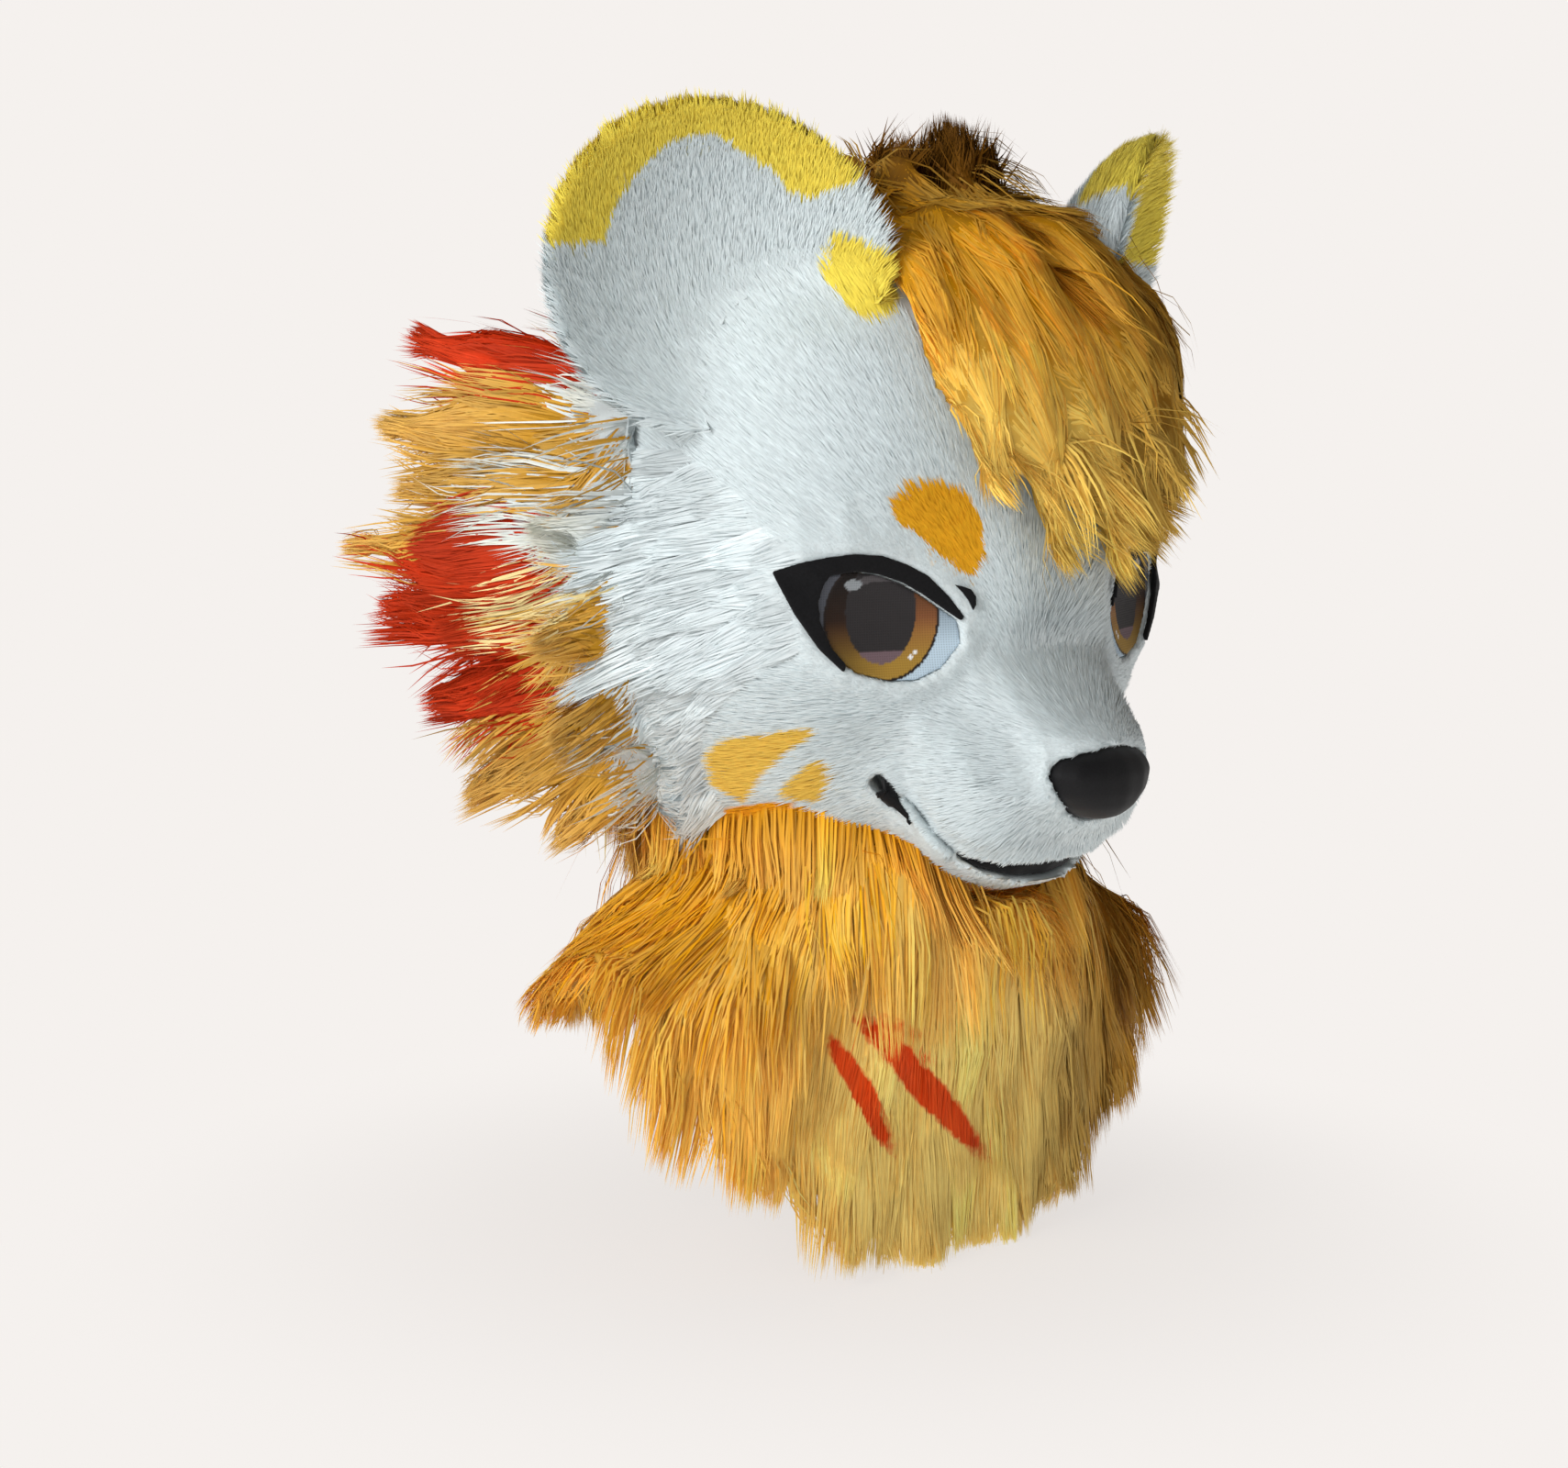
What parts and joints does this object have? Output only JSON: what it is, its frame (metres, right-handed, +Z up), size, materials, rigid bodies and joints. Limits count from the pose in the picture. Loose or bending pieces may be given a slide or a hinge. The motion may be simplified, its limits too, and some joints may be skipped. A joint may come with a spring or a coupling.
{
  "type": "kemono fursuit head",
  "caption": "Hollow foam and fur animal head to wear, with cupped ears, large printed mesh eyes, deep hair and cheek tufts, and a long-furred neck and shoulder bib.",
  "frame": {"origin": "the crown seat: where the top of the wearer's head touches the top of the hollow", "axes": "the face looks along -Y, the head's own left is +X, +Z is up"},
  "size_m": [0.4, 0.3025, 0.5072],
  "materials": {
    "white_fur": "short dense white pile",
    "ear_fur": "short pile, white with a yellow rim",
    "orange_fur": "long soft orange and gold hair",
    "gold_fur": "long gold fur, orange towards the neck",
    "cheek_fur": "long tufts in white, gold and red-orange",
    "black_felt": "matt black felt",
    "nose_pad": "smooth black minky cloth over foam",
    "eye_mesh": "printed see-through mesh"
  },
  "bodies": {
    "root": {"head_shell": "white_fur", "nose": "nose_pad", "mouth_lining": "black_felt", "eye_panel_left": "eye_mesh", "eye_panel_right": "eye_mesh", "eyeliner_left": "black_felt", "eyeliner_right": "black_felt", "ear_left": "ear_fur", "ear_right": "ear_fur", "forelock": "orange_fur", "back_fur": "orange_fur", "cheek_fluff_left": "cheek_fur", "cheek_fluff_right": "cheek_fur", "bib": "gold_fur"}
  },
  "joints": []
}
